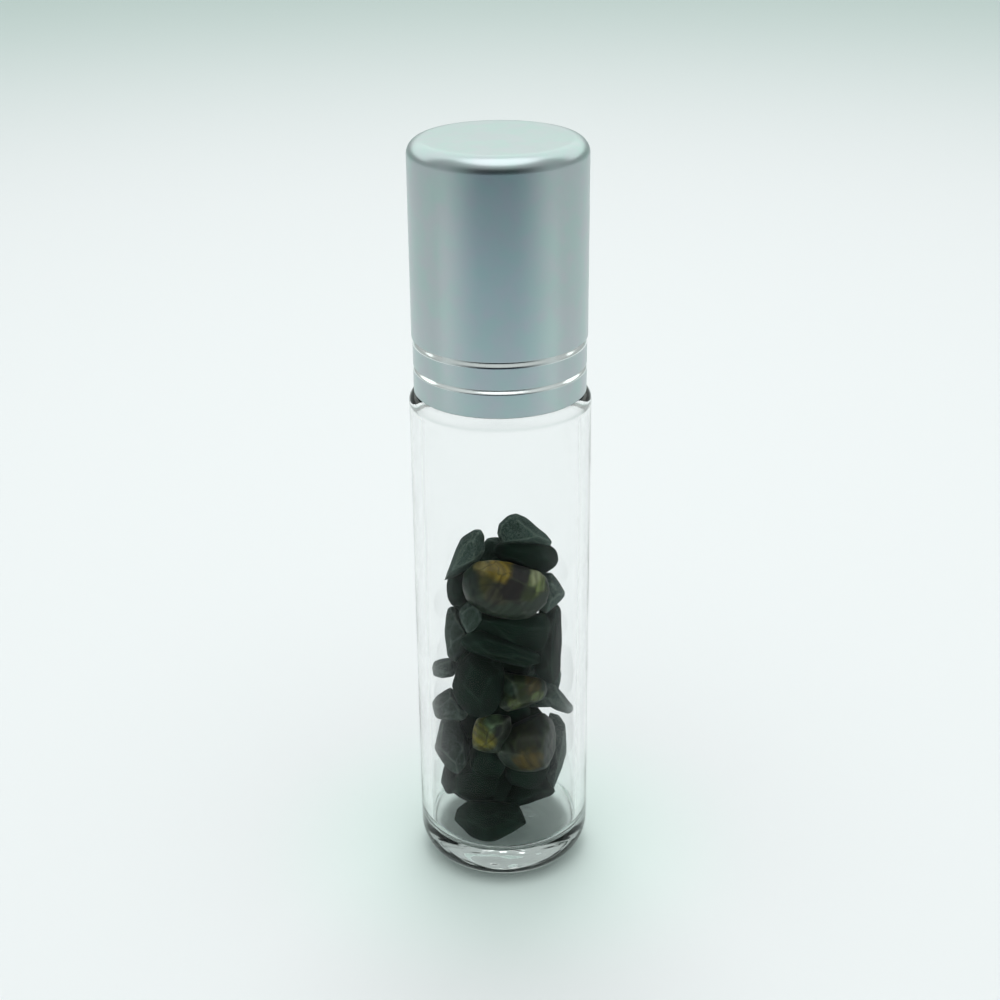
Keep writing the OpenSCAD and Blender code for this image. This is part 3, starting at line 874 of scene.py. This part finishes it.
def at_cylinder(start, ray, radius):
    """Where a ray first meets an upright cylinder round the bottle's axis, or nothing."""
    a = ray.x ** 2 + ray.y ** 2
    b = start.x * ray.x + start.y * ray.y
    left = b ** 2 - a * (start.x ** 2 + start.y ** 2 - radius ** 2)
    return start + ray * ((-b - math.sqrt(left)) / a) if left > 0 else None


def through_pixel(x, y, centre):
    """Where the bent ray of a pixel meets the plane that faces the camera at a point."""
    ray = (aim @ Vector(((x - CENTRE_PX) / FOCAL_PX, (PICTURE_PX / 2 - y) / FOCAL_PX, -1))).normalized()
    start = eye
    for radius, ratio in ((GLASS_R * MM, 1 / GLASS_IOR), (BORE_R * MM, GLASS_IOR)):
        hit = at_cylinder(start, ray, radius)
        if hit is None:
            break
        start, ray = hit, bent(ray, Vector((hit.x, hit.y, 0)).normalized(), ratio)
    facing = (centre - eye).normalized()
    return start + ray * ((centre - start).dot(facing) / ray.dot(facing))


def kept_in_bore(point):
    """Keeps a point inside the bottle's bore and above its floor, with its rounded corner."""
    limit = (BORE_R - STONE_GAP) * MM
    radius = math.hypot(point.x, point.y)
    if radius > limit:
        point.x *= limit / radius
        point.y *= limit / radius
        radius = limit
    point.z = max(point.z, (FLOOR_H + FLOOR_GAP) * MM)
    corner_r, corner_z = (BORE_R - FLOOR_CORNER_R) * MM, (FLOOR_H + FLOOR_CORNER_R) * MM
    out, down = radius - corner_r, corner_z - point.z
    reach = (FLOOR_CORNER_R - STONE_GAP) * MM
    if out > 0 and down > 0 and math.hypot(out, down) > reach:
        share = reach / math.hypot(out, down)
        point.x *= (corner_r + out * share) / radius
        point.y *= (corner_r + out * share) / radius
        point.z = corner_z - down * share
    return point


print("camera to bottle in mm:", round(eye.length / MM))


# %% Chip shapes
SPARE = 0.22
VOXEL = 0.14
KEPT_SHARE = 0.6
LEAN = (0.8, 1.1)
RINGS = ((-0.9, 0.35, 0.6), (-0.5, 0.75, 0.92), (0, 1, 1), (0.5, 0.75, 0.92), (0.9, 0.35, 0.6))


def chip_points(number, low, high):
    """Corners of a chip: its outline, and narrower rings towards the camera and away from it."""
    pick = random.Random(number)
    centre = (low + high) / 2
    facing = (centre - eye).normalized()
    outline = [through_pixel(x, y, centre) for x, y in OUTLINES_PX[number]]
    middle = sum(outline, Vector()) / len(outline)
    arms = [q - middle for q in outline]
    mean_r = sum(arm.length for arm in arms) / len(arms)
    depth = min((high.y - low.y) / 2, mean_r)
    points = []
    for step, least, most in RINGS:
        for arm in arms:
            if least == 1 or pick.random() < KEPT_SHARE:
                out, back = pick.uniform(least, most), pick.uniform(*LEAN)
                spot = middle + arm * out + facing * depth * step * back
                points.append(kept_in_bore(spot + arm.normalized() * SPARE * MM))
    return points


def hull_mesh(name, points):
    """A closed mesh round some points."""
    shape = bmesh.new()
    for q in points:
        shape.verts.new(q)
    hull = bmesh.ops.convex_hull(shape, input=shape.verts)
    spare = {v for v in hull["geom_interior"] + hull["geom_unused"] if isinstance(v, bmesh.types.BMVert)}
    bmesh.ops.delete(shape, geom=list(spare), context="VERTS")
    bmesh.ops.recalc_face_normals(shape, faces=shape.faces)
    mesh = bpy.data.meshes.new(name)
    shape.to_mesh(mesh)
    shape.free()
    return mesh


def even_mesh(piece, voxel):
    """Remeshes a piece into small even faces, which can carry fine relief."""
    modifier = piece.modifiers.new("even", "REMESH")
    modifier.mode = "VOXEL"
    modifier.voxel_size = voxel * MM
    keep_result(piece)


print("rings of points on each chip:", len(RINGS))


# %% [markdown]
# ## Broken and worn surfaces
#
# A Geometry Nodes tree finishes every chip by the same rule. It cuts flat faces off in random directions,
# keeps how far each point stands out as an edge, which the material paints paler as wear and as a painted
# highlight, wears the edges round, and dents the surface by a few hundredths of a millimetre. It only ever
# takes stone away, so that no chip grows into the glass.

# %% The broken-chip tree
EDGE_FROM, EDGE_TO = 0.01, 0.09


def broken_chip_tree():
    """Cuts broken faces, worn edges and fine relief into a chip."""
    tree, add, given = new_tree("broken_chip", {
        "Int": ("Faces", "Seed", "Wear"),
        "Float": ("Deepest cut", "Shallowest cut", "Waves", "Wave scale", "Relief", "Relief scale"),
        "Material": ("Material",)})
    place = add("GeometryNodeInputPosition")[0]
    middle = add("GeometryNodeAttributeStatistic", {"Geometry": given["Mesh"], "Attribute": place},
                 data_type="FLOAT_VECTOR")["Mean"]

    start = tree.nodes.new("GeometryNodeRepeatInput")
    finish = tree.nodes.new("GeometryNodeRepeatOutput")
    start.pair_with_output(finish)
    tree.links.new(given["Faces"], start.inputs["Iterations"])
    tree.links.new(given["Mesh"], start.inputs["Geometry"])
    count = start.outputs["Iteration"]
    side = add("FunctionNodeRandomValue", {0: (-1, -1, -1), 1: (1, 1, 1), "ID": count, "Seed": given["Seed"]},
               data_type="FLOAT_VECTOR")[0]
    side = add.vector("NORMALIZE", side)
    share = add("FunctionNodeRandomValue",
                {2: given["Deepest cut"], 3: given["Shallowest cut"], "ID": count, "Seed": given["Seed"]},
                data_type="FLOAT")[1]
    arm = add.vector("SUBTRACT", place, middle)
    reach = add.vector("DOT_PRODUCT", arm, side)
    furthest = add("GeometryNodeAttributeStatistic",
                   {"Geometry": start.outputs["Geometry"], "Attribute": reach})["Max"]
    limit = add.math("MULTIPLY", furthest, share)
    outside = add("FunctionNodeCompare", {0: reach, 1: limit}, operation="GREATER_THAN")[0]
    ratio = add.math("DIVIDE", limit, reach)
    shorter = add("ShaderNodeVectorMath", {0: arm, "Scale": ratio}, operation="SCALE")[0]
    target = add.vector("ADD", middle, shorter)
    sliced = add("GeometryNodeSetPosition",
                 {"Geometry": start.outputs["Geometry"], "Selection": outside, "Position": target})[0]
    tree.links.new(sliced, finish.inputs["Geometry"])

    normal = add("GeometryNodeInputNormal")[0]
    blurred = add("GeometryNodeBlurAttribute", {"Value": place, "Iterations": given["Wear"]},
                  data_type="FLOAT_VECTOR")[0]
    proud = add.vector("SUBTRACT", place, blurred)
    proud = add.vector("DOT_PRODUCT", proud, normal)
    # How far a point stands out, which the materials paint paler: wear, and a painted highlight.
    edge = add.mapped(proud, (EDGE_FROM * MM, EDGE_TO * MM))
    marked = add("GeometryNodeStoreNamedAttribute",
                 {"Geometry": finish.outputs["Geometry"], "Name": "worn_edge", "Value": edge})[0]
    worn = add("GeometryNodeSetPosition", {"Geometry": marked, "Position": blurred})[0]

    wave = add("ShaderNodeTexNoise", {"Vector": place, "Scale": given["Wave scale"], "Detail": 1.0},
               noise_dimensions="3D")[0]
    wave = add.math("MULTIPLY", wave, given["Waves"])
    rough = add("ShaderNodeTexNoise",
                {"Vector": place, "Scale": given["Relief scale"], "Detail": 3.0, "Roughness": 0.6},
                noise_dimensions="3D")[0]
    rough = add.math("MULTIPLY", rough, given["Relief"])
    dent = add.math("ADD", wave, rough)
    inward = add.math("MULTIPLY", dent, -1.0)
    push = add("ShaderNodeVectorMath", {0: normal, "Scale": inward}, operation="SCALE")[0]
    dented = add("GeometryNodeSetPosition", {"Geometry": worn, "Offset": push})[0]
    soft = add("GeometryNodeSetShadeSmooth", {0: dented})[0]
    end_tree(add, soft, given["Material"])
    return tree


chip_tree = broken_chip_tree()
print("inputs:", [s.name for s in chip_tree.interface.items_tree if s.in_out == "INPUT"])


# %% [markdown]
# ## Stone materials
#
# The black and grey chips are fine-grained slate-like stone, broken and then tumbled a little. Broken stone
# is matt, and the grey chips keep a film of their own dust. Their edges are painted paler than their faces,
# partly for wear and partly as a painted highlight along them. Five chips are darker than the grey ones and
# paler than the black, and get a stone between the two. Tiger-eye is quartz grown through with fibres, in
# silky bands that run from nearly black through brown to gold. Its colour changes in broad patches, each held
# as a place in picture pixels, a radius in millimetres and a shade. Its edges too are painted paler, as wear
# and as a painted highlight.

# %% Plain stone
# Patterns to a millimetre: the mottled body, and a grit that is drawn as coarse as it needs to show.
MOTTLE, GRIT = 0.3, 7.0
# How much paler the edges are painted: wear, and a painted highlight.
EDGE_WEAR_AND_HIGHLIGHT = 0.5


def plain_stone(name, dark, light, edge, dust, roughness):
    """Fine-grained stone: a mottled body colour, fine paler grit, and edges painted paler for wear and as a
    painted highlight.
    """
    material, add = new_material(name)
    place = add("ShaderNodeTexCoord")["Object"]
    mottle = add.noise(place, MOTTLE / MM, 6.0)
    grit = add.noise(place, GRIT / MM, 2.0)
    # Edges painted paler: partly wear, partly a painted highlight.
    worn = add("ShaderNodeAttribute", attribute_name="worn_edge")["Fac"]
    body = add.mapped(mottle, (0.3, 0.7))
    tone = add.blend(body, colour(dark), colour(light))
    specks = add.mapped(grit, (0.42, 0.72), (0, dust))
    wear_and_highlight = add.math("MULTIPLY", worn, EDGE_WEAR_AND_HIGHLIGHT)
    paler = add.math("ADD", specks, wear_and_highlight)
    tone = add.blend(paler, tone, colour(edge))
    skin = add("ShaderNodeBump", {"Height": grit, "Strength": 0.7, "Distance": 0.06 * MM})[0]
    stone = add("ShaderNodeBsdfPrincipled",
                {"Base Color": tone, "Roughness": roughness, "IOR": 1.54, "Specular IOR Level": 0.15,
                 "Normal": skin})[0]
    add("ShaderNodeOutputMaterial", {"Surface": stone})
    return material


black_stone = plain_stone("crushed black stone", "#04150E", "#0D271B", "#364E42", 0.16, 0.8)
grey_stone = plain_stone("crushed grey stone", "#2C3D36", "#465A52", "#86988F", 0.5, 0.9)
slate = plain_stone("crushed dark grey stone", "#1B2923", "#31423A", "#74857C", 0.35, 0.85)
SLATE_CHIPS = (6, 9, 15, 18, 24)
print("stone finishes:", [stone.name for stone in (black_stone, grey_stone, slate)])


# %% Tiger-eye
BAND_WIDTH = 0.9
CRACK_GAP = 2.6
CRACK_BEND = 1.2
CLOUD, FIBRE = 0.5, 1.5
ZONE_SHAPE = (1, 0.3, 1)
ZONE_IN, ZONE_OUT = 1.05, 1.55
# How much paler the quartz edges are painted: wear, and a painted highlight.
QUARTZ_WEAR_AND_HIGHLIGHT = 0.28
ZONES = {
    20: [(490, 577, 2.6, "#4C4A1E"), (499, 595, 1.8, "#3C3A2C"), (517, 588, 2.1, "#221E1C"),
         (478, 567, 1.5, "#988A52"), (500, 568, 1.7, "#96802E"), (540, 590, 1.5, "#7A8850"),
         (530, 598, 1.1, "#2C390C"), (541, 580, 1.2, "#A0A67C"), (468, 588, 1.6, "#24342A")],
    11: [(520, 695, 2.2, "#25330E"), (509, 690, 1.1, "#34483A"), (534, 688, 1.3, "#4C4426"),
         (515, 708, 1.0, "#5C6A40"), (538, 701, 1.0, "#5A683C")],
    8: [(481, 736, 2.3, "#76701A"), (485, 728, 1.4, "#585C22"), (494, 721, 1.3, "#607A58"),
        (505, 735, 1.5, "#1A2418")],
    7: [(525, 728, 2.6, "#1B2820"), (525, 746, 2.2, "#202810"), (528, 765, 2.0, "#54481A")],
}


def tiger_eye(name, zones, turn):
    """Quartz with silky bands, and broad zones of colour where the fibres change."""
    material, add = new_material(name)
    place = add("ShaderNodeTexCoord")["Object"]
    bands = add("ShaderNodeMapping", {"Vector": place, "Rotation": turn})[0]
    wave = add("ShaderNodeTexWave",
               {"Vector": bands, "Scale": 0.1 * math.pi / (BAND_WIDTH * MM), "Distortion": 6.0, "Detail": 3.0,
                "Detail Scale": 0.8}, wave_type="BANDS", bands_direction="X")["Fac"]
    cloud = add.noise(place, CLOUD / MM, 3.0)
    tone = add.blend(cloud, colour("#1E2A20"), colour("#3A483A"))
    flat = add.vector("MULTIPLY", place, ZONE_SHAPE)
    for spot, radius, shade in zones:
        away = add.vector("DISTANCE", flat, [a * b for a, b in zip(spot, ZONE_SHAPE)])
        ragged = add.math("MULTIPLY_ADD", cloud, radius * MM, away)
        near = add.mapped(ragged, (ZONE_OUT * radius * MM, ZONE_IN * radius * MM), smooth=True)
        tone = add.blend(near, tone, colour(shade))
    crooked = add.vector("MULTIPLY_ADD", cloud, (CRACK_BEND * MM,) * 3, place)
    cells = add("ShaderNodeTexVoronoi", {"Vector": crooked, "Scale": 1 / (CRACK_GAP * MM)},
                feature="DISTANCE_TO_EDGE")["Distance"]
    whole = add.mapped(cells, (0, 0.05), (0.45, 1))
    silk = add.mapped(wave, to=(0.7, 1.2))
    silk = add.math("MULTIPLY", silk, whole)
    tone = add("ShaderNodeVectorMath", {0: tone, "Scale": silk}, operation="SCALE")[0]
    # Edges painted paler: partly wear, partly a painted highlight.
    worn = add("ShaderNodeAttribute", attribute_name="worn_edge")["Fac"]
    wear_and_highlight = add.math("MULTIPLY", worn, QUARTZ_WEAR_AND_HIGHLIGHT)
    tone = add.blend(wear_and_highlight, tone, colour("#7A846C"))
    fibre = add.noise(bands, FIBRE / MM, 2.0)
    skin = add("ShaderNodeBump", {"Height": fibre, "Strength": 0.4, "Distance": 0.04 * MM})[0]
    stone = add("ShaderNodeBsdfPrincipled",
                {"Base Color": tone, "Roughness": 0.4, "IOR": 1.544, "Specular IOR Level": 0.25,
                 "Normal": skin})[0]
    add("ShaderNodeOutputMaterial", {"Surface": stone})
    return material


print("tiger-eye chips:", sorted(ZONES))


# %% Break the chips
WAVES, WAVE_SCALE = 0.25, 0.45
RELIEF, RELIEF_SCALE = 0.07, 1.8
MERGE = 0.001
# Voxel size, cut faces, deepest cut and rounds of wear, for the chips in front and for those behind.
FRONT_CHIP = (VOXEL, 4, 0.92, 10)
HIDDEN_CHIP = (2 * VOXEL, 12, 0.86, 2)

chips = []
for name in sorted(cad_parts):
    if "stone" not in name:
        continue
    kind, number = name.split("_")[0], int(name.split("_")[-1])
    stone = slate if number in SLATE_CHIPS else black_stone if kind == "black" else grey_stone
    if number in ZONES:
        low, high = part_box(name)
        front = (low + high) / 2 - Vector((0, (high.y - low.y) / 2, 0))
        stone = tiger_eye("tiger-eye quartz %d" % number, [
            (through_pixel(x, y, front), radius, shade) for x, y, radius, shade in ZONES[number]],
            (0.2 * number, 0.3, 0.5 * number))
    if number in OUTLINES_PX:
        mesh = hull_mesh(name, chip_points(number, *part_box(name)))
        voxel, faces, deepest, wear = FRONT_CHIP
    else:
        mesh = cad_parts[name].data.copy()
        shape = bmesh.new()
        shape.from_mesh(mesh)
        bmesh.ops.remove_doubles(shape, verts=shape.verts, dist=MERGE * MM)
        shape.to_mesh(mesh)
        shape.free()
        mesh.materials.clear()
        voxel, faces, deepest, wear = HIDDEN_CHIP
    chip = new_object("chip_" + name, mesh)
    even_mesh(chip, voxel)
    run_tree(chip, chip_tree, {
        "Faces": faces, "Seed": number, "Wear": wear, "Deepest cut": deepest, "Shallowest cut": 0.98,
        "Waves": WAVES * MM, "Wave scale": WAVE_SCALE / MM, "Relief": RELIEF * MM,
        "Relief scale": RELIEF_SCALE / MM, "Material": stone})
    chips.append((chip, name, kind))
print("chips:", len(chips), "faces in all:", sum(len(chip.data.polygons) for chip, name, kind in chips))


# %% [markdown]
# ## Hand the pieces to the frame
#
# Each piece rides on a body of the imported model and stands for its plain solid, so that it moves when a
# joint moves. The table also names a slot for each finish, which this script does not use.

SLOTS = {"black": "black_stone", "grey": "grey_stone", "tiger": "tiger_eye"}
dressed = [
    (bottle, "glass_bottle", "bottle", "clear_glass"),
    (housing, "ball_housing", "bottle", "natural_polyethylene"),
    (ball, "roller_ball", "ball", "polished_steel"),
    (shell, "cap_shell", "shell", "satin_aluminium"),
    (liner, "cap_liner", "liner", "white_polypropylene"),
] + [(chip, name, "bottle", SLOTS[kind]) for chip, name, kind in chips]
for piece, node, body, slot in dressed:
    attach(piece, body)
    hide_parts(node)
